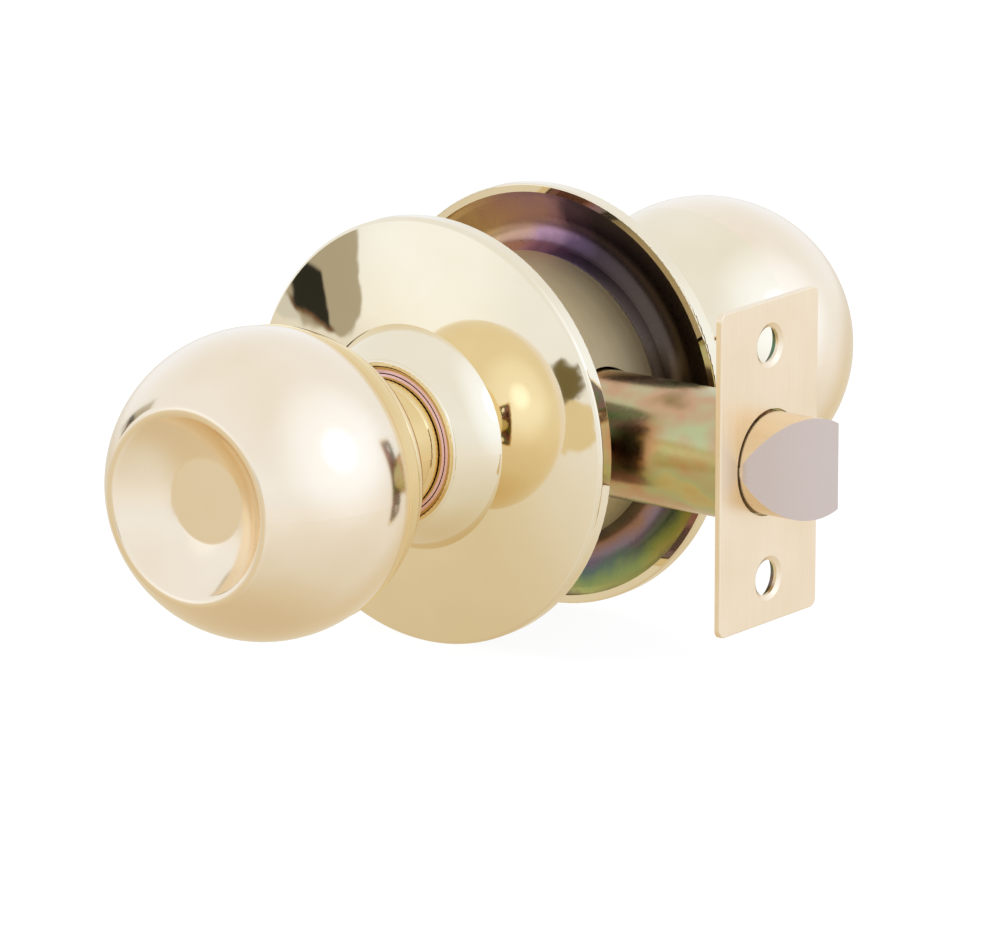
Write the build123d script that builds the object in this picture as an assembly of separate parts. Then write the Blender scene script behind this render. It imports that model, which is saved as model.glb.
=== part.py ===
from build123d import *
import os
from math import cos, radians, sin, sqrt

# Cylindrical knob lock, passage function, for a door with a 54 mm cross bore and a 60 mm backset.
# Millimetres. The origin is where the knob axis, Y, crosses the latch axis, X. +Z is up.
# The outside half lies towards -Y and the inside half towards +Y, and the faceplate faces +X.
# Turned pieces are drawn for the inside half, as (radius, distance along the knob axis).

# Door preparation
BACKSET = 60.0

# Latch faceplate
PLATE_LENGTH = 57.2
PLATE_WIDTH = 28.6
PLATE_CORNER = 1.5
PLATE_THICKNESS = 1.1
BACK_PLATE_THICKNESS = 1.4
BACK_PLATE_INSET = 2.4
BACK_PLATE_HOLE_R = 4.2
SCREW_SPACING = 41.3
SCREW_HOLE_R = 3.15
SCREW_SINK_R = 3.95
SCREW_SINK_DEPTH = 0.5
PLATE_BOLT_HOLE_R = 9.4
PLATE_EDGE_R = 0.25

# Latch bolt, its case, its tail and its spring
BOLT_R = 9.0
BOLT_THROW = 11.2
BOLT_FLAT_Y = 5.1
BOLT_BACK_X = 47.0
BOLT_FLAT_START_X = 52.0
BEVEL_START = -0.4
BOLT_TIP_R = 0.3
CASE_R = 11.0
CASE_WALL = 0.9
CASE_BACK_X = 22.6
CASE_GUIDE_R = 9.08
CASE_GUIDE_LENGTH = 5.0
CASE_END_THICKNESS = 1.6
PRONG_LENGTH = 3.8
PRONG_Z = 8.9
PRONG_THICKNESS = 1.2
PRONG_WIDTH = 6.6
TAIL_THICKNESS = 2.0
TAIL_HEIGHT = 5.2
TAIL_HEAD_HEIGHT = 14.0
TAIL_HEAD_X = 12.0
TAIL_HEAD_LENGTH = 2.2
TAIL_SEAT = 4.0
SLOT_PLAY = 0.3
SEAT_PLAY = 0.02
LATCH_SPRING_R = 6.5
LATCH_SPRING_WIRE_R = 0.45
LATCH_SPRING_TURNS = 8

# Drum that holds the mechanism
DRUM_R = 26.4
DRUM_WALL = 1.2
DRUM_HALF = 13.9
DRUM_EDGE_R = 0.6
END_PLATE_THICKNESS = 1.2
DRUM_OPENING_R = 11.4

# Roses and the plates inside them
SHEET = 0.8
ROSE_R = 38.0
ROSE_LAND_R = 36.5
ROSE_BACK = 15.63
ROSE_HEM = 1.2
ROSE_HEM_R = 0.3
ROSE_RIM_FRONT = 18.15
ROSE_FRONT_R = 37.35
ROSE_FRONT = 18.93
ROSE_EDGE_BOW = 0.12
ROSE_BOW = 0.33
ROSE_HUB_R = 20.0
ROSE_HUB_FOOT = 23.2
ROSE_HUB_BOW = 0.75
ROSE_CROWN_R = 15.0
ROSE_CROWN = 30.2
ROSE_CROWN_EDGE = 0.5
ROSE_HOLE_R = 13.8
ROSE_LIP = 1.4
PLATE_SHEET = 0.8
PLATE_RIM_R = 36.9
PLATE_RIM = 16.88
PLATE_SHOULDER_R = 35.4
PLATE_SHOULDER = 17.18
PLATE_TOP_R = 28.4
PLATE_TOP = 19.3
PLATE_SEAT_R = 25.6
PLATE_FOLD_R = 4.0
PLATE_SEAT_FOLD_R = 1.5

# Hubs that carry the knobs
HUB_R = 13.6
HUB_END = 29.7
HUB_BORE_R = 12.6
HUB_FLOOR = 20.3
HUB_SPIGOT_R = 10.0
THREAD_PLAY = 0.05

# Knobs
KNOB_R = 27.0
KNOB_CENTRE = 64.15
KNOB_SEAM = 56.9
KNOB_CAP_R = 27.25
KNOB_SKIRT = 3.0
NECK_R = 12.5
NECK_END = 21.5
NECK_FILLET = 1.2
DISH_RIM_R = 16.5
DISH_RIM_FILLET = 1.6
DISH_FLOOR_R = 7.5
DISH_FLOOR = 79.35
DISH_FLOOR_FILLET = 1.8
DISH_BOW = 0.55
CORE_R = 7.6
CORE_FLANGE_Y = 52.6
CORE_FLANGE_THICKNESS = 1.5
CORE_START = 21.8
CORE_RING_START = 22.5
CORE_RING_LENGTH = 2.5

# Spindles, with the ears that draw the retractor
SPINDLE_R = 6.0
SPINDLE_WALL = 1.3
SPINDLE_START = 4.0
SPINDLE_END = 50.0
RUNNING_GAP = 0.08
EAR_START = 4.5
EAR_THICKNESS = 2.5
EAR_DISC_R = 7.6
EAR_NOSE_R = 1.6
EAR_ARM_WIDTH = 2.2
TURN = 55.0
COLLAR_R = 8.5
COLLAR_START = 10.2
COLLAR_END = 12.6

# Retractor, its springs and their seat
RETRACTOR_FRONT = 16.5
RETRACTOR_BACK = -6.5
RETRACTOR_HALF_WIDTH = 8.5
RETRACTOR_INSIDE_Z = 14.2
RETRACTOR_SHEET = 1.5
WEB_HALF_WIDTH = 3.4
JAW_GAP_Z = 3.2
JAW_THICKNESS = 2.0
SHOULDER_Z = 10.5
SHOULDER_BACK_X = -3.0
SHOULDER_Y = 4.4
SHOULDER_WIDTH = 3.8
EAR_PLAY = 0.3
SEAT_FACE_X = -21.2
SEAT_HALF_HEIGHT = 11.2
SEAT_HALF_WIDTH = 9.0
PEG_R = 1.8
PEG_LENGTH = 3.0
RETURN_SPRING_Z = 8.0
RETURN_SPRING_R = 2.6
RETURN_SPRING_WIRE_R = 0.35
RETURN_SPRING_TURNS = 5

# Mounting screws, and the catch that holds the inside knob on its spindle
SCREW_Z = 19.0
SCREW_SHANK_R = 2.4
SCREW_HEAD_R = 4.2
SCREW_HEAD_HEIGHT = 2.3
SCREW_HEAD_EDGE_R = 0.9
SCREW_TIP = 9.2
CROSS_WIDTH = 0.9
CROSS_LENGTH = 4.4
CROSS_DEPTH = 1.2
BOSS_R = 4.0
BOSS_END = 9.7
CATCH_Y = 36.5
CATCH_WIDTH = 3.0
CATCH_TIP = 7.4
CATCH_LEAF_Z = 4.0
CATCH_LEAF_THICKNESS = 0.5
CATCH_LEAF_BACK = 22.0
CATCH_FOOT = 4.5
RELEASE_HOLE_R = 1.6

# The nose of an ear swings as far ahead of the upright as behind it, so it moves 11.2 mm along X
# in 55 degrees, and never leaves a steady ratio by more than 0.1 mm.
EAR_R = BOLT_THROW / 2 / sin(radians(TURN / 2))
PLATE_SEAT = DRUM_HALF
SCREW_SEAT = DRUM_HALF + PLATE_SHEET


def turned(*edges):
    """Solid of revolution about the knob axis from the edges of a closed outline."""
    return revolve(make_face(Curve() + list(edges)), axis=Axis.Y)


def pressed(*paths, thickness=SHEET, side=Side.LEFT):
    """Turned sheet: each path is an outer surface, and the sheet lies on the given side of it."""
    sections = [make_face(offset(path, amount=thickness, side=side, closed=True).edges()) for path in paths]
    return revolve(Sketch() + sections, axis=Axis.Y)


def ring(inner_r, outer_r, start, end):
    """Tube or disc about the knob axis."""
    corners = [(inner_r, start), (outer_r, start), (outer_r, end), (inner_r, end)]
    return turned(Polyline(*corners, close=True))


def along_x(radius, start, end, y=0.0, z=0.0):
    """Round bar along the latch axis."""
    return Pos((start + end) / 2, y, z) * Rot(0, 90, 0) * Cylinder(radius, end - start)


def along_y(radius, start, end, x=0.0, z=0.0):
    """Round bar along the knob axis."""
    return Pos(x, (start + end) / 2, z) * Rot(90, 0, 0) * Cylinder(radius, end - start)


def block(x_span, y_span, z_span):
    """Block between two values on each axis."""
    spans = (x_span, y_span, z_span)
    size = [high - low for low, high in spans]
    middle = [(high + low) / 2 for low, high in spans]
    return Pos(*middle) * Box(*size)


def outside_half(piece):
    """The same piece on the other side of the door."""
    return mirror(piece, about=Plane.XZ)


def above_and_below(piece):
    """The piece and its mirror image below the latch axis."""
    return piece + mirror(piece, about=Plane.XY)


def spring(coil_r, wire_r, turns, start, end, z=0.0):
    """Compression spring along the latch axis, its two ends ground flat."""
    pitch = (end - start - 2 * wire_r) / turns
    path = Helix(pitch, pitch * turns, coil_r, center=(start + wire_r, 0, z), direction=(1, 0, 0))
    return sweep(Plane(origin=path @ 0, z_dir=path % 0) * Circle(wire_r), path=path, is_frenet=True)


# Points on circles about the centre of the knob


def on_ball(radius, distance):
    return (sqrt(radius**2 - (distance - KNOB_CENTRE) ** 2), distance)


def ball_arc(radius, start, end):
    """Arc about the knob's centre from one distance along the axis to another."""
    middle = on_ball(radius, (start + end) / 2)
    return ThreePointArc(on_ball(radius, start), middle, on_ball(radius, end))


def knob_shell():
    """Drawn front of the knob: a ball with a dish in its face, and a skirt that the cap holds."""
    rim = (DISH_RIM_R, KNOB_CENTRE + sqrt(KNOB_R**2 - DISH_RIM_R**2))
    floor = (DISH_FLOOR_R, DISH_FLOOR)
    wall_middle = ((rim[0] + floor[0]) / 2 + DISH_BOW, (rim[1] + floor[1]) / 2 - DISH_BOW)
    start = KNOB_CENTRE - (KNOB_CENTRE - KNOB_SEAM) * KNOB_R / KNOB_CAP_R + SEAT_PLAY
    ball = ThreePointArc(on_ball(KNOB_R, start), (KNOB_R, KNOB_CENTRE), rim)
    dish = ThreePointArc(rim, wall_middle, floor)
    face = Line(floor, (0, DISH_FLOOR))
    path = Wire([ball, dish, face])
    path = path.fillet_2d(DISH_RIM_FILLET, [path.vertices().sort_by_distance(Vector(*rim))[0]])
    path = path.fillet_2d(DISH_FLOOR_FILLET, [path.vertices().sort_by_distance(Vector(*floor))[0]])
    skirt_r = KNOB_CAP_R - SHEET - SEAT_PLAY
    skirt_end = KNOB_SEAM - KNOB_SKIRT
    skirt = ball_arc(skirt_r, skirt_end, KNOB_SEAM + SHEET)
    return pressed(path, skirt)


def knob_cap():
    """Back of the knob: the rest of the ball, drawn down into the neck that turns in the hub."""
    fillet_centre_y = KNOB_CENTRE - sqrt((KNOB_CAP_R + NECK_FILLET) ** 2 - (NECK_R + NECK_FILLET) ** 2)
    reach = NECK_FILLET + NECK_R
    scale = KNOB_CAP_R / (KNOB_CAP_R + NECK_FILLET)
    ball_end = (reach * scale, KNOB_CENTRE + (fillet_centre_y - KNOB_CENTRE) * scale)
    neck_top = (NECK_R, fillet_centre_y)
    neck = Line((NECK_R, NECK_END), neck_top)
    throat = RadiusArc(neck_top, ball_end, NECK_FILLET)
    ball = ball_arc(KNOB_CAP_R, ball_end[1], KNOB_SEAM)
    return pressed(Wire([neck, throat, ball]))


def inside_knob_cap():
    """Inside cap, with the hole that a pin goes through to release the knob."""
    return knob_cap() - Pos(0, CATCH_Y, -NECK_R) * Cylinder(RELEASE_HOLE_R, 4 * SHEET)


def catch_window():
    """Square opening under the spindle that the catch comes through."""
    half = CATCH_WIDTH / 2 + SLOT_PLAY
    return block((-half, half), (CATCH_Y - half, CATCH_Y + half), (-CORE_R - 1, 0))


def knob_core():
    """Sleeve that slides on the spindle, with the flange and the ring that carry the cap."""
    flange_r = on_ball(KNOB_CAP_R - SHEET, CORE_FLANGE_Y)[0]
    flange_end = CORE_FLANGE_Y + CORE_FLANGE_THICKNESS
    sleeve = ring(SPINDLE_R + RUNNING_GAP, CORE_R, CORE_START, flange_end)
    flange = ring(SPINDLE_R + RUNNING_GAP, flange_r, CORE_FLANGE_Y, flange_end)
    neck_ring = ring(CORE_R, NECK_R - SHEET, CORE_RING_START, CORE_RING_START + CORE_RING_LENGTH)
    return sleeve + flange + neck_ring


def ear():
    """One ear of the cam: a tapered arm from the disc to the round nose, leaning to the front."""
    lean = radians(TURN / 2)
    nose_x, nose_z = EAR_R * sin(lean), EAR_R * cos(lean)
    nose = along_y(EAR_NOSE_R, EAR_START, EAR_START + EAR_THICKNESS, nose_x, nose_z)
    arm = block((-EAR_ARM_WIDTH / 2, EAR_ARM_WIDTH / 2), (EAR_START, EAR_START + EAR_THICKNESS), (0, EAR_R))
    return nose + Rot(0, TURN / 2, 0) * arm


def spindle():
    """Tube that the knob drives, with the two-eared cam and the collar that stays behind the hub."""
    tube = ring(SPINDLE_R - SPINDLE_WALL, SPINDLE_R, SPINDLE_START, SPINDLE_END)
    disc = ring(SPINDLE_R, EAR_DISC_R, EAR_START, EAR_START + EAR_THICKNESS)
    collar = ring(SPINDLE_R, COLLAR_R, COLLAR_START, COLLAR_END)
    bore = along_y(SPINDLE_R - SPINDLE_WALL, SPINDLE_START, SPINDLE_END)
    return above_and_below(ear()) + disc + collar + tube - bore


def hub():
    """Bushing staked in the drum's end plate: the neck of the knob turns in its wide bore."""
    spigot = ring(SPINDLE_R + RUNNING_GAP, HUB_SPIGOT_R, DRUM_HALF - END_PLATE_THICKNESS, DRUM_HALF)
    body = ring(SPINDLE_R + RUNNING_GAP, HUB_R, DRUM_HALF, HUB_END)
    bore = ring(0, HUB_BORE_R, HUB_FLOOR, HUB_END + 1)
    return spigot + body - bore


def rose():
    """Pressed rose: a hemmed rim, a shallow dome, and the raised hub with its rolled lip."""
    land_in = (ROSE_LAND_R, ROSE_BACK)
    land_out = (ROSE_R - ROSE_HEM_R, ROSE_BACK)
    rim_back = (ROSE_R, ROSE_BACK + ROSE_HEM_R)
    rim_front = (ROSE_R, ROSE_RIM_FRONT)
    dome_edge = (ROSE_FRONT_R, ROSE_FRONT)
    foot = (ROSE_HUB_R, ROSE_HUB_FOOT)
    crown_out = (ROSE_CROWN_R, ROSE_CROWN - ROSE_CROWN_EDGE)
    crown_in = (ROSE_CROWN_R - ROSE_CROWN_EDGE, ROSE_CROWN)
    lip_top = (ROSE_HOLE_R + ROSE_HEM_R, ROSE_CROWN)
    lip_edge = (ROSE_HOLE_R, ROSE_CROWN - ROSE_HEM_R)
    lip_end = (ROSE_HOLE_R, ROSE_CROWN - ROSE_LIP)
    lip_back = (ROSE_CROWN_R - SHEET, ROSE_CROWN - ROSE_LIP)
    crown_inside = (ROSE_CROWN_R - SHEET, ROSE_CROWN - SHEET)
    foot_inside = (ROSE_HUB_R - SHEET, ROSE_HUB_FOOT - SHEET)
    dome_inside = (ROSE_R - SHEET, ROSE_RIM_FRONT - SHEET / 2)
    hem_inside = (ROSE_R - SHEET, ROSE_BACK + ROSE_HEM)
    land_top = (ROSE_LAND_R, ROSE_BACK + ROSE_HEM)
    return turned(
        Line(land_in, land_out),
        RadiusArc(land_out, rim_back, -ROSE_HEM_R),
        Line(rim_back, rim_front),
        SagittaArc(rim_front, dome_edge, -ROSE_EDGE_BOW),
        SagittaArc(dome_edge, foot, -ROSE_BOW),
        SagittaArc(foot, crown_out, -ROSE_HUB_BOW),
        RadiusArc(crown_out, crown_in, -ROSE_CROWN_EDGE),
        Line(crown_in, lip_top),
        RadiusArc(lip_top, lip_edge, -ROSE_HEM_R),
        Polyline(lip_edge, lip_end, lip_back, crown_inside),
        SagittaArc(crown_inside, foot_inside, ROSE_HUB_BOW),
        SagittaArc(foot_inside, dome_inside, ROSE_BOW),
        Polyline(dome_inside, hem_inside, land_top, land_in),
    )


def rose_plate():
    """Dished plate that snaps into the hem of the rose and seats on the end of the drum."""
    path = FilletPolyline(
        (PLATE_RIM_R, PLATE_RIM),
        (PLATE_SHOULDER_R, PLATE_SHOULDER),
        (PLATE_TOP_R, PLATE_TOP),
        (PLATE_SEAT_R, PLATE_SEAT),
        (HUB_R + THREAD_PLAY, PLATE_SEAT),
        radius=(PLATE_SEAT_FOLD_R, PLATE_FOLD_R, PLATE_SEAT_FOLD_R),
    )
    return pressed(path, thickness=PLATE_SHEET, side=Side.RIGHT)


def screw_places(radius, start, end):
    """Bars where the two mounting screws go."""
    return above_and_below(along_y(radius, start, end, z=SCREW_Z))


def mounting_plate():
    """The inside rose's plate, with the holes that the two mounting screws pass through."""
    return rose_plate() - screw_places(SCREW_SHANK_R + SLOT_PLAY, PLATE_SEAT - 1, SCREW_SEAT + 1)


def mounting_screws():
    """Two pan-head screws with crossed slots."""
    head_end = SCREW_SEAT + SCREW_HEAD_HEIGHT
    screws = screw_places(SCREW_SHANK_R, SCREW_TIP, SCREW_SEAT)
    heads = screw_places(SCREW_HEAD_R, SCREW_SEAT, head_end)
    heads = fillet(heads.edges().filter_by(GeomType.CIRCLE).group_by(Axis.Y)[-1], SCREW_HEAD_EDGE_R)
    half_length, half_width = CROSS_LENGTH / 2, CROSS_WIDTH / 2
    depth = (head_end - CROSS_DEPTH, head_end + 1)
    upright = block((-half_width, half_width), depth, (SCREW_Z - half_length, SCREW_Z + half_length))
    level = block((-half_length, half_length), depth, (SCREW_Z - half_width, SCREW_Z + half_width))
    return heads + screws - above_and_below(upright + level)


def drum():
    """Rolled band of the drum, with the opening that the latch case enters."""
    band = ring(DRUM_R - DRUM_WALL, DRUM_R, -DRUM_HALF, DRUM_HALF)
    outer_edges = [edge for edge in band.edges().filter_by(GeomType.CIRCLE) if edge.radius > DRUM_R - 0.1]
    band = fillet(outer_edges, DRUM_EDGE_R)
    return band - along_x(DRUM_OPENING_R, 0, DRUM_R + 1)


def end_plate():
    """Disc that closes the drum and holds the hub."""
    start = DRUM_HALF - END_PLATE_THICKNESS
    return ring(HUB_SPIGOT_R, DRUM_R - DRUM_WALL, start, DRUM_HALF)


def inside_end_plate():
    """The inside disc has two tapped bosses for the mounting screws."""
    bosses = screw_places(BOSS_R, BOSS_END, DRUM_HALF)
    return end_plate() + bosses - screw_places(SCREW_SHANK_R, BOSS_END - 1, DRUM_HALF + 1)


def retractor():
    """Folded slide: two flanges joined by a web, with jaws for the tail and shoulders for the ears."""
    flange_z = (RETRACTOR_INSIDE_Z, RETRACTOR_INSIDE_Z + RETRACTOR_SHEET)
    full_width = (-RETRACTOR_HALF_WIDTH, RETRACTOR_HALF_WIDTH)
    web_width = (-WEB_HALF_WIDTH, WEB_HALF_WIDTH)
    ear_face = EAR_R * sin(radians(TURN / 2)) - EAR_NOSE_R - EAR_PLAY
    flange = block((RETRACTOR_BACK, RETRACTOR_FRONT), full_width, flange_z)
    jaw = block((RETRACTOR_FRONT - JAW_THICKNESS, RETRACTOR_FRONT), web_width, (JAW_GAP_Z, flange_z[1]))
    shoulder = block(
        (SHOULDER_BACK_X, ear_face),
        (SHOULDER_Y, SHOULDER_Y + SHOULDER_WIDTH),
        (SHOULDER_Z, flange_z[1]),
    )
    web_x = (RETRACTOR_BACK, RETRACTOR_BACK + RETRACTOR_SHEET)
    web = block(web_x, web_width, (-flange_z[1], flange_z[1]))
    return above_and_below(flange + jaw + shoulder + outside_half(shoulder)) + web


def spring_seat():
    """Block that fits the back of the drum, with a peg for each return spring."""
    height = (-SEAT_HALF_HEIGHT, SEAT_HALF_HEIGHT)
    width = (-SEAT_HALF_WIDTH, SEAT_HALF_WIDTH)
    seat = block((-DRUM_R, SEAT_FACE_X), width, height)
    seat = seat & along_y(DRUM_R - DRUM_WALL, -DRUM_HALF, DRUM_HALF)
    peg = along_x(PEG_R, SEAT_FACE_X - 0.5, SEAT_FACE_X + PEG_LENGTH, z=RETURN_SPRING_Z)
    return seat + above_and_below(peg)


def return_springs():
    """The two springs that push the retractor back."""
    upper = spring(
        RETURN_SPRING_R, RETURN_SPRING_WIRE_R, RETURN_SPRING_TURNS,
        SEAT_FACE_X, RETRACTOR_BACK, RETURN_SPRING_Z,
    )
    return Compound(children=[upper, mirror(upper, about=Plane.XY)])


def catch():
    """Lug on a spring leaf inside the spindle, which holds the knob's sleeve."""
    half = CATCH_WIDTH / 2
    lug = block((-half, half), (CATCH_Y - half, CATCH_Y + half), (-CATCH_TIP, -CATCH_LEAF_Z))
    leaf_z = (-CATCH_LEAF_Z, CATCH_LEAF_THICKNESS - CATCH_LEAF_Z)
    leaf = block((-half, half), (CATCH_LEAF_BACK, CATCH_Y + half), leaf_z)
    foot = block((-half / 2, half / 2), (CATCH_LEAF_BACK, CATCH_LEAF_BACK + 1), (-CATCH_FOOT, -CATCH_LEAF_Z))
    return lug + leaf + foot


def plate_outline(inset):
    """Faceplate outline in the plane across the latch axis."""
    size = (PLATE_WIDTH - 2 * inset, PLATE_LENGTH - 2 * inset)
    return RectangleRounded(*size, PLATE_CORNER)


def plate_slab(inset, start, thickness):
    """Rounded plate across the latch axis, from start towards +X."""
    across = Plane(origin=(start, 0, 0), x_dir=(0, 1, 0), z_dir=(1, 0, 0))
    return extrude(across * plate_outline(inset), thickness)


def faceplate_screw_holes(radius, start, end):
    """Bars where the faceplate's two wood screws go."""
    return above_and_below(along_x(radius, start, end, z=SCREW_SPACING / 2))


def faceplate():
    """Brass face with the bolt's hole and two screw holes sunk a little at the front."""
    start = BACKSET - PLATE_THICKNESS
    plate = plate_slab(0, start, PLATE_THICKNESS)
    plate = fillet(plate.faces().sort_by(Axis.X)[-1].edges(), PLATE_EDGE_R)
    plate -= along_x(PLATE_BOLT_HOLE_R, start - 1, BACKSET + 1)
    plate -= faceplate_screw_holes(SCREW_HOLE_R, start - 1, BACKSET + 1)
    sink = Pos(BACKSET - SCREW_SINK_DEPTH / 2, 0, SCREW_SPACING / 2) * Rot(0, 90, 0)
    cone = sink * Cone(SCREW_HOLE_R, SCREW_SINK_R, SCREW_SINK_DEPTH)
    return plate - above_and_below(cone)


def back_plate():
    """Steel plate behind the face, which the latch case is staked into."""
    end = BACKSET - PLATE_THICKNESS
    start = end - BACK_PLATE_THICKNESS
    plate = plate_slab(BACK_PLATE_INSET, start, BACK_PLATE_THICKNESS)
    plate -= along_x(CASE_R, start - 1, end + 1)
    return plate - faceplate_screw_holes(BACK_PLATE_HOLE_R, start - 1, end + 1)


def latch_case():
    """Tube of the latch, thicker at its mouth, where it guides the bolt."""
    end = BACKSET - PLATE_THICKNESS
    tube = along_x(CASE_R, CASE_BACK_X, end)
    tube -= along_x(CASE_R - CASE_WALL, CASE_BACK_X - 1, end - CASE_GUIDE_LENGTH)
    return tube - along_x(CASE_GUIDE_R, CASE_BACK_X, end + 1)


def case_end():
    """Disc in the back of the case, slotted for the tail, with two prongs that enter the drum."""
    half_slot = TAIL_THICKNESS / 2 + SLOT_PLAY
    half_height = TAIL_HEIGHT / 2 + SLOT_PLAY
    end = CASE_BACK_X + CASE_END_THICKNESS
    disc = along_x(CASE_R - CASE_WALL, CASE_BACK_X, end)
    prong = block(
        (CASE_BACK_X - PRONG_LENGTH, CASE_BACK_X + 0.5),
        (-PRONG_WIDTH / 2, PRONG_WIDTH / 2),
        (PRONG_Z - PRONG_THICKNESS / 2, PRONG_Z + PRONG_THICKNESS / 2),
    )
    slot = block((CASE_BACK_X - 1, end + 1), (-half_slot, half_slot), (-half_height, half_height))
    return disc + above_and_below(prong) - slot


def latch_bolt():
    """Round bolt, flat on one side, with a bevel that curves from the other side to its tip."""
    tip = BACKSET + BOLT_THROW
    bolt = along_x(BOLT_R, BOLT_BACK_X, tip)
    bolt -= block((BOLT_FLAT_START_X, tip + 1), (BOLT_FLAT_Y, BOLT_R + 1), (-BOLT_R - 1, BOLT_R + 1))
    bevel_start = (BACKSET + BEVEL_START, -BOLT_R)
    bevel_end = (tip, BOLT_FLAT_Y)
    bevel_turn = ((bevel_start[0] + tip) / 2, -BOLT_R)
    bevel = Bezier(bevel_start, bevel_turn, bevel_end)
    beyond = Polyline(
        bevel_end,
        (tip + 1, BOLT_FLAT_Y),
        (tip + 1, -BOLT_R - 1),
        (bevel_start[0], -BOLT_R - 1),
        bevel_start,
    )
    waste = make_face(Curve() + [bevel, beyond])
    bolt -= extrude(Pos(0, 0, -BOLT_R - 1) * waste, 2 * BOLT_R + 2)
    tip_edge = bolt.edges().filter_by(Axis.Z).sort_by(Axis.X)[-1]
    bolt = fillet(tip_edge, BOLT_TIP_R)
    half_slot = TAIL_THICKNESS / 2 + SEAT_PLAY
    half_height = TAIL_HEIGHT / 2 + SEAT_PLAY
    pocket_x = (BOLT_BACK_X - 1, BOLT_BACK_X + TAIL_SEAT)
    return bolt - block(pocket_x, (-half_slot, half_slot), (-half_height, half_height))


def latch_tail():
    """Flat bar with a crosshead that the retractor's jaws pull."""
    thickness = (-TAIL_THICKNESS / 2, TAIL_THICKNESS / 2)
    head_x = (TAIL_HEAD_X, TAIL_HEAD_X + TAIL_HEAD_LENGTH)
    head = block(head_x, thickness, (-TAIL_HEAD_HEIGHT / 2, TAIL_HEAD_HEIGHT / 2))
    stem_x = (TAIL_HEAD_X, BOLT_BACK_X + TAIL_SEAT)
    return head + block(stem_x, thickness, (-TAIL_HEIGHT / 2, TAIL_HEIGHT / 2))


def latch_spring():
    """Spring between the end of the case and the back of the bolt."""
    start = CASE_BACK_X + CASE_END_THICKNESS
    return spring(LATCH_SPRING_R, LATCH_SPRING_WIRE_R, LATCH_SPRING_TURNS, start, BOLT_BACK_X)


PIECES = {
    "outside_knob_shell": outside_half(knob_shell()),
    "outside_knob_cap": outside_half(knob_cap()),
    "outside_knob_core": outside_half(knob_core()),
    "outside_spindle": outside_half(spindle()),
    "outside_hub": outside_half(hub()),
    "outside_rose": outside_half(rose()),
    "outside_rose_plate": outside_half(rose_plate()),
    "outside_end_plate": outside_half(end_plate()),
    "drum": drum(),
    "retractor": retractor(),
    "spring_seat": spring_seat(),
    "return_springs": return_springs(),
    "inside_end_plate": inside_end_plate(),
    "mounting_plate": mounting_plate(),
    "mounting_screws": mounting_screws(),
    "inside_rose": rose(),
    "inside_hub": hub(),
    "inside_spindle": spindle() - catch_window(),
    "inside_knob_catch": catch(),
    "inside_knob_core": knob_core() - catch_window(),
    "inside_knob_cap": inside_knob_cap(),
    "inside_knob_shell": knob_shell(),
    "latch_faceplate": faceplate(),
    "latch_back_plate": back_plate(),
    "latch_case": latch_case(),
    "latch_case_end": case_end(),
    "latch_bolt": latch_bolt(),
    "latch_bolt_spring": latch_spring(),
    "latch_tail": latch_tail(),
}

os.makedirs("parts", exist_ok=True)
for name, piece in PIECES.items():
    export_step(piece, f"parts/{name}.step")
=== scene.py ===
from math import cos, radians, sin

import bpy
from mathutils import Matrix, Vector


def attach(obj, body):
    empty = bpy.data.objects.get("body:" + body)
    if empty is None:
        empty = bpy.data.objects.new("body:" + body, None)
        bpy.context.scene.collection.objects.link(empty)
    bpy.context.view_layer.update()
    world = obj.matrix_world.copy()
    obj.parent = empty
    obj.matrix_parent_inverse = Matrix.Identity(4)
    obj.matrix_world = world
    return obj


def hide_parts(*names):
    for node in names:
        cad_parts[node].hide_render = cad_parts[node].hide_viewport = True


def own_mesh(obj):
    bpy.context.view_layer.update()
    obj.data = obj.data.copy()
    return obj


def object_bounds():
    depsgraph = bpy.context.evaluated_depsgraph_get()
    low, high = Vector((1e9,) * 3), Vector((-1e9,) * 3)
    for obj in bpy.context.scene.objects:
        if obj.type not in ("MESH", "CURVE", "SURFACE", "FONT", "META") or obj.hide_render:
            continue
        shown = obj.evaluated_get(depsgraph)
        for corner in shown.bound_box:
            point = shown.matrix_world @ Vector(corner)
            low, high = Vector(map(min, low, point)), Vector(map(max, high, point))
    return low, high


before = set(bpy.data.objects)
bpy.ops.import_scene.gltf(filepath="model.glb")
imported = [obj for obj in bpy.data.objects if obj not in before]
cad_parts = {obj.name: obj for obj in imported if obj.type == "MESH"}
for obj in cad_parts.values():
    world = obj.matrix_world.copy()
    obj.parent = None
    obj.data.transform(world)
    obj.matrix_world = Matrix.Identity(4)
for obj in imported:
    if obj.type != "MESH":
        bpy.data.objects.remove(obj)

# Looks of the cylindrical knob lock. Metres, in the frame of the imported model: the knob axis is Y,
# the latch axis is X, the faceplate faces +X, and the outside knob is at -Y.

cad_low, cad_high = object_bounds()
MM = 0.001
UP = Vector((0, 0, 1))
WHITE = (1.0, 1.0, 1.0, 1.0)

# Camera: turned 37 degrees from the outside knob's face towards the latch, and a little above it
VIEW_AZIMUTH = 37.22
VIEW_ELEVATION = 14.37
VIEW_DISTANCE = 1477.3 * MM
VIEW_AIM = Vector((0.0, 2.5, -11.3)) * MM
FOCAL_LENGTH = 301.1
SENSOR_WIDTH = 36.0
CLIP_END = 20.0

# Studio: a floor under the rims of the roses, one broad lamp, and a white tent round the object
FLOOR_HALF = 4.0
FLOOR_GLOW = 0.93
FLOOR_TONE = 0.12
LAMP_POWER = 7.0
LAMP_SIZE = 0.9
LAMP_PLACE = Vector((-0.25, -0.25, 1.1))

# Places of the tent are (azimuth, elevation) in degrees, seen from the object. A spread is a pair of
# angles from such a place, in degrees: where a spot starts, and where it is full.

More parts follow.
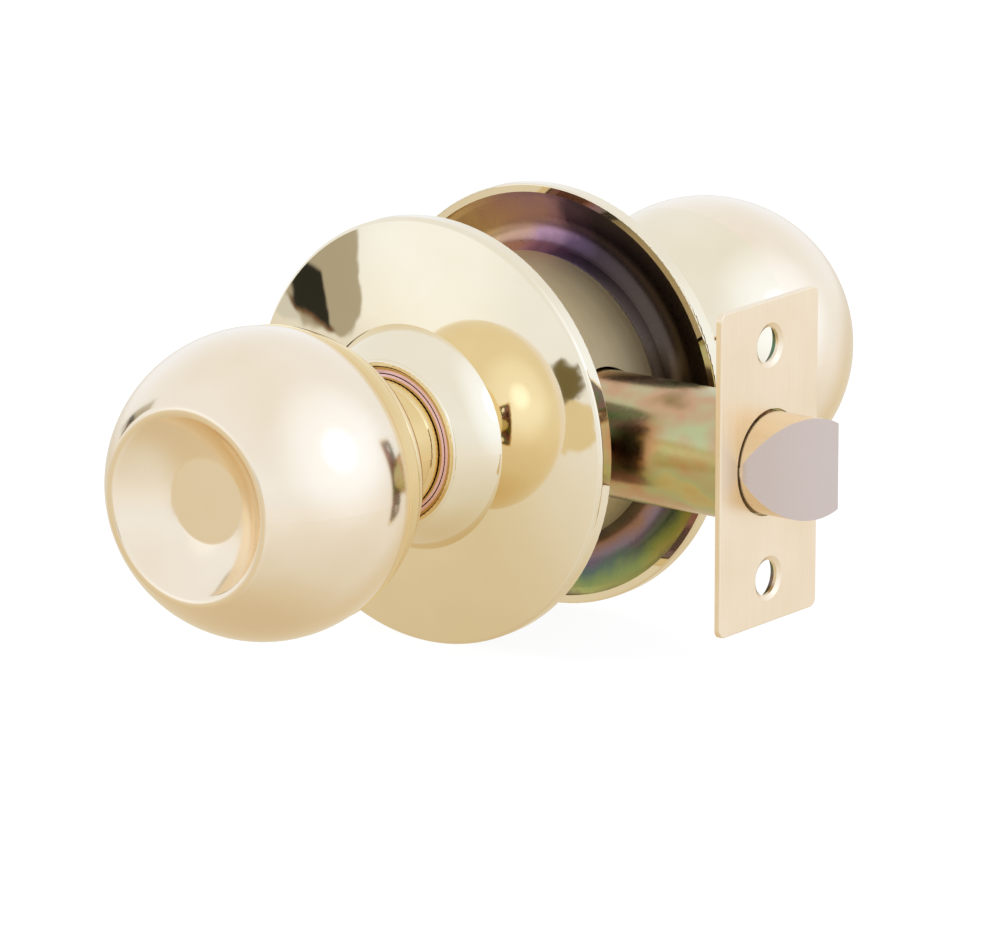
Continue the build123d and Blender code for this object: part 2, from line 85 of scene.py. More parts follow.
# The tent's colour by the height of the direction looked in, from -1 straight down to 1 straight up.
# Away from SIDE_PLACE the tent is warmer and darker below the horizon.
TENT_LEVEL = 1.25
RIGHT_SIDE = [(-1.0, "#C9BFAB"), (-0.8, "#D0CEC8"), (-0.5, "#D7D7D8"), (-0.2, "#E0E3EC"), (0.0, "#E0E7F6"),
              (0.2, "#E2EAFA"), (0.6, "#DFE5F2"), (1.0, "#DFE4EF")]
LEFT_SIDE = [(-1.0, "#C5B9A3"), (-0.7, "#C9BEA8"), (-0.35, "#CFC7B4"), (-0.15, "#CFCBC3"), (0.03, "#E2E7F1"),
             (0.2, "#E2EAFA"), (0.6, "#DFE5F2"), (1.0, "#DFE4EF")]
SIDE_PLACE = (80.0, 0.0)
SIDE_SPREAD = (69.513, 104.478)

# Key light through the cloth, to the right: a broad glow with a brighter core
KEY_PLACE = (106.0, 27.0)
KEY_COLOUR = "#A9C8FF"
KEY_LEVEL = 0.38
KEY_SPREAD = (55.0, 2.0)
KEY_CORE_LEVEL = 0.60
KEY_CORE_SPREADS = [(17.0, 2.0), (40.0, 0.0)]

# A second glow to the left
GLOW_PLACE = (-34.0, 9.0)
GLOW_LEVEL = 0.13
GLOW_SPREAD = (21.0, 3.0)

# Two small stands in front of the object, the upper one over the lower: place, spread and colour.
# Their outlines waver by noise whose waves are 1/22 of a radian.
STANDS = [((-5.6, -8.6), (5.2, 4.2), "#CFC2A2"), ((-6.0, -1.6), (3.4, 2.4), "#6A6040")]
STAND_WAVES = 22.0
STAND_DETAIL = 2.0
STAND_WAVER = 0.07

# Grey card to the left of the object, 90 mm from the outside rose, whose polished face mirrors it.
# Places on the card are millimetres to the right and up, seen from behind it, looking at the object.
CARD_AZIMUTH = -61.0
CARD_CENTRE = Vector((-112.7, -68.6, 20.0)) * MM
CARD_OUTLINE = [(16, 46), (32, 34), (42, 18), (44, 2), (38, -12), (30, -16), (-24, -16), (-28, -9), (-14, 4),
                (-4, 16), (9, 31)]
CARD_COLOUR = "#A49F93"
CARD_PALE = "#C4C6C8"
HOLE_COLOUR = "#2A2A26"
FRINGE_COLOUR = "#6E5643"
# Each edge is a point on it and the direction out over it, in degrees from the card's right
HOLE_EDGES = [((5.0, 13.0), 31.8), ((18.0, -7.5), 261.0), ((0.0, 12.5), 95.0), ((-10.0, 0.0), 205.0)]
CARD_PALE_EDGE = ((-11.0, -3.0), 237.0)
CARD_EDGES = [((25.0, 26.0), 27.5), ((33.5, 8.0), 18.4), ((32.0, -3.5), 329.0), ((10.0, -9.7), 270.0)]
# Millimetres past an edge: where a tone starts, and where it is full
HOLE_STEP = (1.2, -1.2)
FRINGE_STEP = (3.5, 0.5)
FRINGE_LOW_STEP = (-2.5, 0.0)
PALE_STEP = (-1.0, 1.0)
CARD_STEP = (1.4, -1.4)
# The edges waver by noise: the size of its waves and the width of the waver, in millimetres
CARD_WAVES = 6
CARD_DETAIL = 0.6
CARD_WAVER = 3.5

# Most values of a noise lie between the first two numbers, those of two mixed ones between the next two,
# and nearly all values of a noise between the last two
NOISE_LOW, NOISE_HIGH = 0.3, 0.7
MIXED_LOW, MIXED_HIGH = 0.35, 0.65
WIDE_LOW, WIDE_HIGH = 0.25, 0.75

# Sizes of the patterns in the metals, in millimetres: clouds of tone, the orange peel of spun sheet,
# turning lines, brushed strokes and the grain of a chromate film. Real turning lines and strokes are about
# 0.1 mm apart and the film's grain is finer still, too fine to show, so they are drawn this coarse.
SPUN_CLOUD = 18
PEEL_WAVE = 4
TURNING_LINE = 0.35
BRUSHED_CLOUD = 14
STROKE_WIDTH = 0.5
FILM_GRAIN = 0.6
PLATE_CLOUD = 11
HUB_CLOUD = 8
BACK_CLOUD = 14
CASE_CLOUD = 9
# A straight stroke is 40 times as long as it is wide, and strokes have this share in a brushed metal's tone
STROKE_SQUEEZE = 0.025
STROKE_SHARE = 0.35
# Height of the film's grain, in millimetres, and how rough a film is on the dished plate and elsewhere
FILM_BUMP = 0.0008
PLATE_ROUGH = (0.27, 0.36)
FILM_ROUGH = (0.17, 0.26)

# Bevel of the bolt, drawn greyer: its tone, and the X of the normal where it starts and is full
BEVEL_TONE = "#D2C1B3"
BEVEL_LEAN = (0.12, 0.3)

# Film colours of the latch case and of the plain plates, from thin to thick film
CASE_FILM = [(0.0, "#5A4630"), (0.2, "#A08052"), (0.4, "#CBA077"), (0.55, "#C6B283"), (0.7, "#BFC08C"),
             (0.85, "#CFC283"), (1.0, "#D2B67A")]
BACK_FILM = [(0.0, "#B98A62"), (0.4, "#8E6A74"), (0.7, "#5E7A56"), (1.0, "#B0A660")]
# Colours of the mounting plate: the film's colours, with painted shade in the dark tones on the latch side
# of the upper half and by the drum in the lower half, where the plate lies deep in the rose. They go over the
# upper half by the angle from the latch side over the top, in degrees, and over the lower half by the radius
# in millimetres
UPPER_FILM_AND_SHADE = [(0, "#6A5A4C"), (20, "#5A4C3E"), (66, "#483C40"), (82, "#624C60"), (97, "#B88E9E"),
              (110, "#CCA286"), (126, "#D8B47C"), (180, "#B89860")]
LOWER_FILM_AND_SHADE = [(26, "#6A5644"), (28.5, "#A07A64"), (30.5, "#8F7F92"), (32.2, "#7B9486"), (34, "#A9C078"),
              (35.6, "#C8C878"), (37, "#A89A70")]
# Clouds move the colours of the film and of its painted shade by this much either way, in degrees and in
# millimetres. The middle of the clouds shifts the radius outwards, so the lower half's colours are read
# RADIUS_START mm further out.
ANGLE_DRIFT = 24.0
RADIUS_DRIFT = 3.25
RADIUS_START = 3.2
# Heights in millimetres where the lower half's colours start and where they are full
HALVES_MEET = (2, -6)
# Tones of a hub's end face, and the radii in millimetres between which the pink turns to gold
HUB_PINKS = ("#F2C6D8", "#F4D4E4")
HUB_GOLD = "#CBA468"
HUB_TURN = (13.05, 13.25)


def linear(code):
    """Turns an sRGB hex colour into linear red, green, blue and alpha.

    Each part c becomes c/12.92 up to 0.04045, and ((c+0.055)/1.055)^2.4 above it.
    """
    parts = [int(code[k:k + 2], 16) / 255 for k in (1, 3, 5)]
    return [c / 12.92 if c <= 0.04045 else ((c + 0.055) / 1.055) ** 2.4 for c in parts] + [1.0]


def direction(azimuth, elevation):
    """Unit vector (sin a cos e, -cos a cos e, sin e) from the object towards azimuth a and elevation e."""
    a, e = radians(azimuth), radians(elevation)
    return Vector((sin(a) * cos(e), -cos(a) * cos(e), sin(e)))


def per_mm(wavelength):
    """Pattern scale for a feature of this size in millimetres."""
    return 1 / (wavelength * MM)


def span(stops):
    """Stops of a quantity, moved onto the 0 to 1 of a colour ramp."""
    low, high = stops[0][0], stops[-1][0]
    return [((value - low) / (high - low), code) for value, code in stops]


def add(tree, kind, sockets=None, stops=(), **settings):
    """Adds one node.

    settings are its own properties, stops are (position, hex colour) pairs of its colour ramp, and sockets
    gives each input a value or another node's output.
    """
    made = tree.nodes.new(kind)
    for name, value in settings.items():
        setattr(made, name, value)
    elements = made.color_ramp.elements if stops else ()
    while len(elements) < len(stops):
        elements.new(0.5)
    for element, (position, code) in zip(elements, stops):
        element.position = position
        element.color = linear(code)
    for name, value in (sockets or {}).items():
        if isinstance(value, bpy.types.NodeSocket):
            tree.links.new(value, made.inputs[name])
        else:
            made.inputs[name].default_value = value
    return made


def spot(tree, looked, place, outer, inner):
    """0 where the direction looked in is outer degrees from a place, and 1 at inner degrees from it."""
    sockets = {0: looked, 1: direction(*place)}
    likeness = add(tree, "ShaderNodeVectorMath", sockets, operation="DOT_PRODUCT").outputs["Value"]
    sockets = {"Value": likeness, "From Min": cos(radians(outer)), "From Max": cos(radians(inner))}
    return add(tree, "ShaderNodeMapRange", sockets, interpolation_type="SMOOTHSTEP").outputs[0]


def wavered(tree, place, scale, detail, width):
    """The place, moved by noise by up to half the width each way."""
    sockets = {"Vector": place, "Scale": scale, "Detail": detail}
    sockets = {0: add(tree, "ShaderNodeTexNoise", sockets).outputs["Color"], 1: (0.5, 0.5, 0.5)}
    centred = add(tree, "ShaderNodeVectorMath", sockets, operation="SUBTRACT").outputs[0]
    sockets = {0: centred, 1: (width, width, width), 2: place}
    return add(tree, "ShaderNodeVectorMath", sockets, operation="MULTIPLY_ADD").outputs[0]


def flat_piece(name, points):
    """One flat face as an object of its own."""
    mesh = bpy.data.meshes.new(name)
    mesh.from_pydata(points, [], [range(len(points))])
    made = bpy.data.objects.new(name, mesh)
    bpy.context.scene.collection.objects.link(made)
    return made


def empty_material(piece, name):
    """Gives a piece a material without nodes, and returns its node tree."""
    made = bpy.data.materials.new(name)
    made.use_nodes = True
    made.node_tree.nodes.clear()
    piece.data.materials.append(made)
    return made.node_tree


# Camera
camera = bpy.data.objects.new("camera", bpy.data.cameras.new("camera"))
camera.data.sensor_width = SENSOR_WIDTH
camera.data.lens = FOCAL_LENGTH
camera.data.clip_end = CLIP_END
camera.location = VIEW_AIM + VIEW_DISTANCE * direction(VIEW_AZIMUTH, VIEW_ELEVATION)
camera.rotation_euler = (VIEW_AIM - camera.location).to_track_quat("-Z", "Y").to_euler()
bpy.context.scene.collection.objects.link(camera)
bpy.context.scene.camera = camera

# World: white to the camera, and the tent to everything else
bpy.context.scene.view_settings.view_transform = "Standard"
world = bpy.data.worlds.new("tent")
world.use_nodes = True
bpy.context.scene.world = world
tree = world.node_tree
tree.nodes.clear()
towards = add(tree, "ShaderNodeTexCoord").outputs["Generated"]
height = add(tree, "ShaderNodeSeparateXYZ", {0: towards}).outputs["Z"]
rise = add(tree, "ShaderNodeMapRange", {"Value": height, "From Min": -1.0, "From Max": 1.0}).outputs[0]
right_side = add(tree, "ShaderNodeValToRGB", {"Fac": rise}, stops=span(RIGHT_SIDE)).outputs["Color"]
left_side = add(tree, "ShaderNodeValToRGB", {"Fac": rise}, stops=span(LEFT_SIDE)).outputs["Color"]
sockets = {0: spot(tree, towards, SIDE_PLACE, *SIDE_SPREAD), 6: right_side, 7: left_side}
tent = add(tree, "ShaderNodeMix", sockets, data_type="RGBA").outputs[2]
moved = wavered(tree, towards, STAND_WAVES, STAND_DETAIL, STAND_WAVER)
moved = add(tree, "ShaderNodeVectorMath", {0: moved}, operation="NORMALIZE").outputs[0]
for stand_place, stand_spread, stand_colour in STANDS:
    sockets = {0: spot(tree, moved, stand_place, *stand_spread), 6: tent, 7: linear(stand_colour)}
    tent = add(tree, "ShaderNodeMix", sockets, data_type="RGBA").outputs[2]

sockets = {0: spot(tree, towards, GLOW_PLACE, *GLOW_SPREAD), 1: GLOW_LEVEL, 2: TENT_LEVEL}
lit = add(tree, "ShaderNodeMath", sockets, operation="MULTIPLY_ADD").outputs[0]
sockets = {k: spot(tree, towards, KEY_PLACE, *KEY_CORE_SPREADS[k]) for k in (0, 1)}
core = add(tree, "ShaderNodeMath", sockets, operation="MULTIPLY").outputs[0]
sockets = {0: spot(tree, towards, KEY_PLACE, *KEY_SPREAD), 1: KEY_LEVEL}
broad = add(tree, "ShaderNodeMath", sockets, operation="MULTIPLY").outputs[0]
sockets = {0: core, 1: KEY_CORE_LEVEL, 2: broad}
key = add(tree, "ShaderNodeMath", sockets, operation="MULTIPLY_ADD").outputs[0]
cloth = add(tree, "ShaderNodeBackground", {"Color": tent, "Strength": lit})
key_light = add(tree, "ShaderNodeBackground", {"Color": linear(KEY_COLOUR), "Strength": key})
studio = add(tree, "ShaderNodeAddShader", {0: cloth.outputs[0], 1: key_light.outputs[0]})
plain = add(tree, "ShaderNodeBackground", {"Color": WHITE, "Strength": 1.0})
camera_ray = add(tree, "ShaderNodeLightPath").outputs["Is Camera Ray"]
shown = add(tree, "ShaderNodeMixShader", {0: camera_ray, 1: studio.outputs[0], 2: plain.outputs[0]})
add(tree, "ShaderNodeOutputWorld", {"Surface": shown.outputs[0]})
world.cycles.sampling_method = "NONE"

# Floor: glows white to the camera over a dim matt coat, on which the shadow falls
corners = [(-1, -1), (1, -1), (1, 1), (-1, 1)]
floor = flat_piece("floor", [(FLOOR_HALF * x, FLOOR_HALF * y, cad_low.z) for x, y in corners])
floor.visible_glossy = False
tree = empty_material(floor, "white_paper_floor")
camera_ray = add(tree, "ShaderNodeLightPath").outputs["Is Camera Ray"]
glowing = add(tree, "ShaderNodeMath", {0: camera_ray, 1: FLOOR_GLOW}, operation="MULTIPLY").outputs[0]
glow = add(tree, "ShaderNodeEmission", {"Color": WHITE, "Strength": glowing})
coat = add(tree, "ShaderNodeBsdfDiffuse", {"Color": (FLOOR_TONE, FLOOR_TONE, FLOOR_TONE, 1.0)})
both = add(tree, "ShaderNodeAddShader", {0: glow.outputs[0], 1: coat.outputs[0]})
add(tree, "ShaderNodeOutputMaterial", {"Surface": both.outputs[0]})

# Card: a flat cut-out that only mirrors see, olive grey with a dark hole and wavering edges
card_right = Vector((cos(radians(CARD_AZIMUTH)), sin(radians(CARD_AZIMUTH)), 0.0))


def on_card(right, up):
    """Point on the card, given in millimetres from its centre."""
    return CARD_CENTRE + MM * right * card_right + MM * up * UP


def past_edge(tree, place, point, angle):
    """Distance in millimetres of a place past an edge of the card, which goes through the point."""
    outward = cos(radians(angle)) * card_right + sin(radians(angle)) * UP
    sockets = {0: place, 1: outward}
    reach = add(tree, "ShaderNodeVectorMath", sockets, operation="DOT_PRODUCT").outputs["Value"]
    sockets = {0: reach, 1: 1 / MM, 2: -on_card(*point).dot(outward) / MM}
    return add(tree, "ShaderNodeMath", sockets, operation="MULTIPLY_ADD").outputs[0]


def within(tree, distances, start, full):
    """Share of a tone: 0 from start millimetres past any of its edges, 1 from full past all of them."""
    share = None
    for distance in distances:
        sockets = {"Value": distance, "From Min": start, "From Max": full}
        step = add(tree, "ShaderNodeMapRange", sockets, interpolation_type="SMOOTHSTEP").outputs[0]
        if share is not None:
            step = add(tree, "ShaderNodeMath", {0: share, 1: step}, operation="MULTIPLY").outputs[0]
        share = step
    return share


card = flat_piece("grey_card", [on_card(right, up) for right, up in CARD_OUTLINE])
card.visible_camera = False
card.visible_diffuse = False
card.visible_shadow = False
card.visible_transmission = False
tree = empty_material(card, "grey_card")
place = add(tree, "ShaderNodeTexCoord").outputs["Object"]
moved = wavered(tree, place, per_mm(CARD_WAVES), CARD_DETAIL, CARD_WAVER * MM)
from_hole = [past_edge(tree, moved, *edge) for edge in HOLE_EDGES]
from_pale = [past_edge(tree, moved, *CARD_PALE_EDGE)]
from_card = [past_edge(tree, moved, *edge) for edge in CARD_EDGES]
sockets = {0: within(tree, from_hole, *FRINGE_STEP), 1: within(tree, [from_hole[1]], *FRINGE_LOW_STEP)}
fringe = add(tree, "ShaderNodeMath", sockets, operation="MULTIPLY").outputs[0]
tones = [
    (fringe, FRINGE_COLOUR),
    (within(tree, from_pale, *PALE_STEP), CARD_PALE),
    (within(tree, from_hole, *HOLE_STEP), HOLE_COLOUR),
]
card_tone = linear(CARD_COLOUR)
for share, colour in tones:
    sockets = {0: share, 6: card_tone, 7: linear(colour)}
    card_tone = add(tree, "ShaderNodeMix", sockets, data_type="RGBA").outputs[2]
glow = add(tree, "ShaderNodeEmission", {"Color": card_tone, "Strength": TENT_LEVEL})
gone = add(tree, "ShaderNodeBsdfTransparent")
sockets = {0: within(tree, from_card, *CARD_STEP), 1: gone.outputs[0], 2: glow.outputs[0]}
cut_out = add(tree, "ShaderNodeMixShader", sockets)
add(tree, "ShaderNodeOutputMaterial", {"Surface": cut_out.outputs[0]})

# One broad lamp above draws the soft shadow on the floor
lamp = bpy.data.objects.new("top_lamp", bpy.data.lights.new("top_lamp", "AREA"))
lamp.data.energy = LAMP_POWER
lamp.data.size = LAMP_SIZE
lamp.location = LAMP_PLACE
lamp.rotation_euler = (-LAMP_PLACE).to_track_quat("-Z", "Y").to_euler()
lamp.visible_glossy = False
bpy.context.scene.collection.objects.link(lamp)


def new_metal(name):
    """A full-metal Principled material: returns it, its tree, its shader and the place on the piece."""
    made = bpy.data.materials.new(name)
    made.use_nodes = True
    shader = made.node_tree.nodes["Principled BSDF"]
    shader.inputs["Metallic"].default_value = 1.0
    place = add(made.node_tree, "ShaderNodeTexCoord").outputs["Object"]
    return made, made.node_tree, shader, place


def wire(tree, source, shader, socket):
    """Links a node's output to a socket of the shader."""
    tree.links.new(source, shader.inputs[socket])


def turned_place(tree, place):
    """(radius from the knob axis, distance along it, 0): a pattern on it runs round like turning marks."""
    parts = add(tree, "ShaderNodeSeparateXYZ", {0: place}).outputs
    across = add(tree, "ShaderNodeCombineXYZ", {"X": parts["X"], "Z": parts["Z"]}).outputs[0]
    radius = add(tree, "ShaderNodeVectorMath", {0: across}, operation="LENGTH").outputs["Value"]
    return add(tree, "ShaderNodeCombineXYZ", {"X": radius, "Y": parts["Y"]}).outputs[0]


def spun_brass(name, dark, light, rough, peel, line):
    """Brass sheet spun and buffed round the knob axis.

    Colour and roughness drift in clouds. The surface has an orange peel, peel mm high, and turning lines,
    line mm high. rough gives the least and the most roughness.
    """
    made, tree, shader, place = new_metal(name)
    sockets = {"Vector": place, "Scale": per_mm(SPUN_CLOUD), "Detail": 3.0}
    clouds = add(tree, "ShaderNodeTexNoise", sockets).outputs["Fac"]
    limits = {"Value": clouds, "From Min": NOISE_LOW, "From Max": NOISE_HIGH}
    sockets = {0: add(tree, "ShaderNodeMapRange", limits).outputs[0], 6: linear(dark), 7: linear(light)}
    wire(tree, add(tree, "ShaderNodeMix", sockets, data_type="RGBA").outputs[2], shader, "Base Color")
    sockets = {**limits, "To Min": rough[0], "To Max": rough[1]}
    wire(tree, add(tree, "ShaderNodeMapRange", sockets).outputs[0], shader, "Roughness")
    sockets = {"Vector": place, "Scale": per_mm(PEEL_WAVE), "Detail": 1.0}
    waves = add(tree, "ShaderNodeTexNoise", sockets).outputs["Fac"]
    peeled = add(tree, "ShaderNodeBump", {"Strength": 1.0, "Distance": peel * MM, "Height": waves}).outputs[0]
    sockets = {"Vector": turned_place(tree, place), "Scale": per_mm(TURNING_LINE), "Detail": 2.0}
    lines = add(tree, "ShaderNodeTexNoise", sockets).outputs["Fac"]
    sockets = {"Strength": 1.0, "Distance": line * MM, "Height": lines, "Normal": peeled}
    wire(tree, add(tree, "ShaderNodeBump", sockets).outputs[0], shader, "Normal")
    return made


def brushed_metal(name, dark, light, rough, along, bump):
    """Metal brushed in straight or turned strokes, bump mm high.

    along is the direction of the strokes, X, Y or Z, or T for strokes round the knob axis.
    """
    made, tree, shader, place = new_metal(name)
    if along == "T":
        stretched = turned_place(tree, place)
    else:
        squeeze = [STROKE_SQUEEZE if along == axis else 1.0 for axis in "XYZ"]
        stretched = add(tree, "ShaderNodeMapping", {"Vector": place, "Scale": squeeze}).outputs[0]
    sockets = {"Vector": stretched, "Scale": per_mm(STROKE_WIDTH), "Detail": 4.0}
    strokes = add(tree, "ShaderNodeTexNoise", sockets).outputs["Fac"]
    sockets = {"Vector": place, "Scale": per_mm(BRUSHED_CLOUD), "Detail": 3.0}
    clouds = add(tree, "ShaderNodeTexNoise", sockets).outputs["Fac"]
    mixed = add(tree, "ShaderNodeMix", {0: STROKE_SHARE, 2: clouds, 3: strokes}).outputs[0]
    sockets = {"Value": mixed, "From Min": MIXED_LOW, "From Max": MIXED_HIGH}
    sockets = {0: add(tree, "ShaderNodeMapRange", sockets).outputs[0], 6: linear(dark), 7: linear(light)}
    wire(tree, add(tree, "ShaderNodeMix", sockets, data_type="RGBA").outputs[2], shader, "Base Color")
    limits = {"From Min": NOISE_LOW, "From Max": NOISE_HIGH, "To Min": rough[0], "To Max": rough[1]}
    wire(tree, add(tree, "ShaderNodeMapRange", {"Value": strokes, **limits}).outputs[0], shader, "Roughness")
    sockets = {"Strength": 1.0, "Distance": bump * MM, "Height": strokes}
    wire(tree, add(tree, "ShaderNodeBump", sockets).outputs[0], shader, "Normal")
    return made


def film_finish(tree, shader, place, rough):
    """Fine grain of a chromated surface, in its roughness and as low bumps."""
    sockets = {"Vector": place, "Scale": per_mm(FILM_GRAIN), "Detail": 3.0}
    grain = add(tree, "ShaderNodeTexNoise", sockets).outputs["Fac"]
    limits = {"From Min": NOISE_LOW, "From Max": NOISE_HIGH, "To Min": rough[0], "To Max": rough[1]}
    wire(tree, add(tree, "ShaderNodeMapRange", {"Value": grain, **limits}).outputs[0], shader, "Roughness")
    sockets = {"Strength": 1.0, "Distance": FILM_BUMP * MM, "Height": grain}
    wire(tree, add(tree, "ShaderNodeBump", sockets).outputs[0], shader, "Normal")


def chromate(name, film_tones, low, high, cloud, scale):
    """Zinc under a yellow chromate film, whose colour follows the film's thickness.

    Thickness runs from low to high over clouds of cloud mm. scale gives the pattern's scale along each
    axis, and below 1 it draws the clouds out.
    """
    made, tree, shader, place = new_metal(name)
    drawn = add(tree, "ShaderNodeMapping", {"Vector": place, "Scale": scale}).outputs[0]
    sockets = {"Vector": drawn, "Scale": per_mm(cloud), "Detail": 2.5, "Roughness": 0.45}
    clouds = add(tree, "ShaderNodeTexNoise", sockets).outputs["Fac"]
    sockets = {"Value": clouds, "From Min": WIDE_LOW, "From Max": WIDE_HIGH, "To Min": low, "To Max": high}
    film = add(tree, "ShaderNodeMapRange", sockets).outputs[0]
    tone = add(tree, "ShaderNodeValToRGB", {"Fac": film}, stops=film_tones).outputs["Color"]
    wire(tree, tone, shader, "Base Color")
    film_finish(tree, shader, place, FILM_ROUGH)
    return made


def chromated_plate_with_shade(name):
    """Dished plate: its film's colour and painted shade turn with the angle in the upper half, with the
    radius in the lower.

    Clouds shift both, as in a film that drained and dried unevenly.
    """
    made, tree, shader, place = new_metal(name)
    parts = add(tree, "ShaderNodeSeparateXYZ", {0: place}).outputs
    sockets = {"Vector": place, "Scale": per_mm(PLATE_CLOUD), "Detail": 3.0}
    clouds = add(tree, "ShaderNodeTexNoise", sockets).outputs["Fac"]
    turn = add(tree, "ShaderNodeMath", {0: parts["Z"], 1: parts["X"]}, operation="ARCTAN2").outputs[0]
    angle = add(tree, "ShaderNodeMath", {0: turn}, operation="DEGREES").outputs[0]
    sockets = {0: clouds, 1: 2 * ANGLE_DRIFT, 2: angle}
    angle = add(tree, "ShaderNodeMath", sockets, operation="MULTIPLY_ADD").outputs[0]
    # The colour ramps below hold painted shade, dark on the latch side and by the drum, as well as the film's
    # colours
    low, high = [UPPER_FILM_AND_SHADE[k][0] + ANGLE_DRIFT for k in (0, -1)]
    sockets = {"Value": angle, "From Min": low, "From Max": high}
    upper_ramp_place = add(tree, "ShaderNodeMapRange", sockets).outputs[0]
    upper = add(tree, "ShaderNodeValToRGB", {"Fac": upper_ramp_place}, stops=span(UPPER_FILM_AND_SHADE)).outputs["Color"]
    radius = add(tree, "ShaderNodeSeparateXYZ", {0: turned_place(tree, place)}).outputs["X"]
    sockets = {0: clouds, 1: 2 * RADIUS_DRIFT * MM, 2: radius}
    radius = add(tree, "ShaderNodeMath", sockets, operation="MULTIPLY_ADD").outputs[0]
    low, high = [(LOWER_FILM_AND_SHADE[k][0] + RADIUS_START) * MM for k in (0, -1)]
    sockets = {"Value": radius, "From Min": low, "From Max": high}
    lower_ramp_place = add(tree, "ShaderNodeMapRange", sockets).outputs[0]
    lower = add(tree, "ShaderNodeValToRGB", {"Fac": lower_ramp_place}, stops=span(LOWER_FILM_AND_SHADE)).outputs["Color"]
    sockets = {"Value": parts["Z"], "From Min": HALVES_MEET[0] * MM, "From Max": HALVES_MEET[1] * MM}
    share = add(tree, "ShaderNodeMapRange", sockets, interpolation_type="SMOOTHSTEP").outputs[0]
    tone = add(tree, "ShaderNodeMix", {0: share, 6: upper, 7: lower}, data_type="RGBA").outputs[2]
    wire(tree, tone, shader, "Base Color")
    film_finish(tree, shader, place, PLATE_ROUGH)
    return made


def chromated_hub(name):
    """Hub whose end face is pale pink by the bore, and browned gold at its outer edge."""
    made, tree, shader, place = new_metal(name)
    sockets = {"Vector": place, "Scale": per_mm(HUB_CLOUD), "Detail": 2.0}
    clouds = add(tree, "ShaderNodeTexNoise", sockets).outputs["Fac"]
    sockets = {0: clouds, 6: linear(HUB_PINKS[0]), 7: linear(HUB_PINKS[1])}
    pink = add(tree, "ShaderNodeMix", sockets, data_type="RGBA").outputs[2]
    radius = add(tree, "ShaderNodeSeparateXYZ", {0: turned_place(tree, place)}).outputs["X"]
    sockets = {"Value": radius, "From Min": HUB_TURN[0] * MM, "From Max": HUB_TURN[1] * MM}
    share = add(tree, "ShaderNodeMapRange", sockets, interpolation_type="SMOOTHSTEP").outputs[0]
    tone = add(tree, "ShaderNodeMix", {0: share, 6: pink, 7: linear(HUB_GOLD)}, data_type="RGBA").outputs[2]
    wire(tree, tone, shader, "Base Color")
    film_finish(tree, shader, place, FILM_ROUGH)
    return made


# Pearl satin brass: pale, with a soft blurred sheen that still shows the edges of close reflections
satin_brass = spun_brass("pearl_satin_brass", "#F4E1C1", "#F9E8CC",
                         rough=(0.11, 0.17), peel=0.002, line=0.0003)
# Polished brass: a pale yellow mirror with a slight ripple
polished_brass = spun_brass("polished_brass", "#F0E1BF", "#F5E7C9",
                            rough=(0.025, 0.045), peel=0.004, line=0.00006)
# Deeper gold of the outside knob's polished cap, which turns into the neck
cap_brass = spun_brass("polished_gold_brass", "#F2DDAF", "#F8E6BB",
                       rough=(0.03, 0.06), peel=0.004, line=0.00006)
# Brushed brass of the faceplate: fine strokes along its length, warm and nearly matt
brushed_brass = brushed_metal("brushed_brass", "#F4DDB8", "#F9E6C6",
                              rough=(0.30, 0.38), along="Z", bump=0.0005)
# Satin zinc of the drum: warm grey, with turned strokes
satin_zinc = brushed_metal("satin_zinc", "#C6B084", "#D4BF95",
                           rough=(0.50, 0.60), along="T", bump=0.0012)
# Bright zinc of the pieces inside: cool grey
bright_zinc = brushed_metal("bright_zinc", "#B7B9BC", "#CFD2D4",
                            rough=(0.22, 0.32), along="Y", bump=0.0008)
# Drawn spring wire: darker, with fine streaks
spring_steel = brushed_metal("spring_steel", "#8C8F92", "#A6A9AC",
                             rough=(0.25, 0.35), along="X", bump=0.0008)
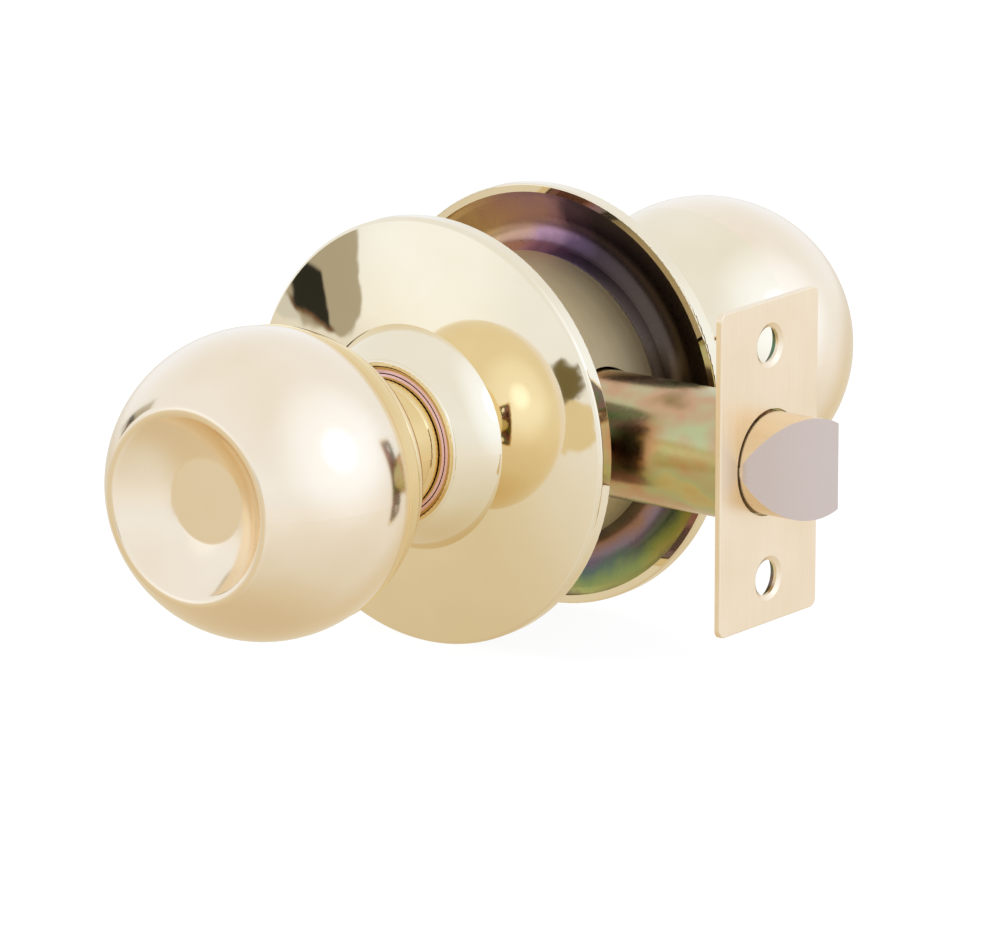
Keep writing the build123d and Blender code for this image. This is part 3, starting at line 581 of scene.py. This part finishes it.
# Satin bolt: gold on its sides, and greyer on the bevel, the faces whose normal leans out along X
satin_bolt = brushed_metal("satin_bolt", "#EFD8B4", "#F6E3C6",
                           rough=(0.26, 0.34), along="X", bump=0.0008)
tree = satin_bolt.node_tree
shader = tree.nodes["Principled BSDF"]
side_tone = shader.inputs["Base Color"].links[0].from_socket
normal = add(tree, "ShaderNodeTexCoord").outputs["Normal"]
lean = add(tree, "ShaderNodeSeparateXYZ", {0: normal}).outputs["X"]
sockets = {"Value": lean, "From Min": BEVEL_LEAN[0], "From Max": BEVEL_LEAN[1]}
bevel_share = add(tree, "ShaderNodeMapRange", sockets, interpolation_type="SMOOTHSTEP").outputs[0]
sockets = {0: bevel_share, 6: side_tone, 7: linear(BEVEL_TONE)}
wire(tree, add(tree, "ShaderNodeMix", sockets, data_type="RGBA").outputs[2], shader, "Base Color")

# Yellow chromated zinc: an oil-slick film, gold and green on the case, and gold through mauve and dark to
# green on the plates, where the mounting plate's darkest tones are painted shade; the hub's end shows the
# film as a pink ring
plate_chromate_with_shade = chromated_plate_with_shade("chromated_plate_with_shade")
back_chromate = chromate("chromated_back_plate", BACK_FILM,
                         low=0.1, high=0.9, cloud=BACK_CLOUD, scale=(1.0, 1.0, 1.0))
case_chromate = chromate("chromated_case", CASE_FILM,
                         low=0.1, high=1.0, cloud=CASE_CLOUD, scale=(0.8, 1.0, 1.0))
hub_chromate = chromated_hub("chromated_hub")

# Pieces that aren't named here are bright zinc
FINISHES = {
    "outside_knob_shell": satin_brass,
    "inside_knob_shell": satin_brass,
    "outside_knob_cap": cap_brass,
    "inside_knob_cap": polished_brass,
    "outside_rose": polished_brass,
    "inside_rose": polished_brass,
    "outside_hub": hub_chromate,
    "inside_hub": hub_chromate,
    "outside_rose_plate": back_chromate,
    "mounting_plate": plate_chromate_with_shade,
    "drum": satin_zinc,
    "outside_end_plate": satin_zinc,
    "inside_end_plate": satin_zinc,
    "latch_faceplate": brushed_brass,
    "latch_back_plate": back_chromate,
    "latch_case": case_chromate,
    "latch_case_end": case_chromate,
    "latch_bolt": satin_bolt,
    "return_springs": spring_steel,
    "latch_bolt_spring": spring_steel,
    "inside_knob_catch": spring_steel,
}
for node_name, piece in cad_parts.items():
    piece.data.materials.clear()
    piece.data.materials.append(FINISHES.get(node_name, bright_zinc))


def shortening_spring(node):
    """Same coils as the CAD spring, as a copy with a mesh of its own, hung on the chassis in place of the
    hidden CAD piece.
    """
    coils = bpy.data.objects.new(node + "_coils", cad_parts[node].data.copy())
    bpy.context.scene.collection.objects.link(coils)
    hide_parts(node)
    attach(coils, "chassis")
    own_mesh(coils)


shortening_spring("return_springs")
shortening_spring("latch_bolt_spring")
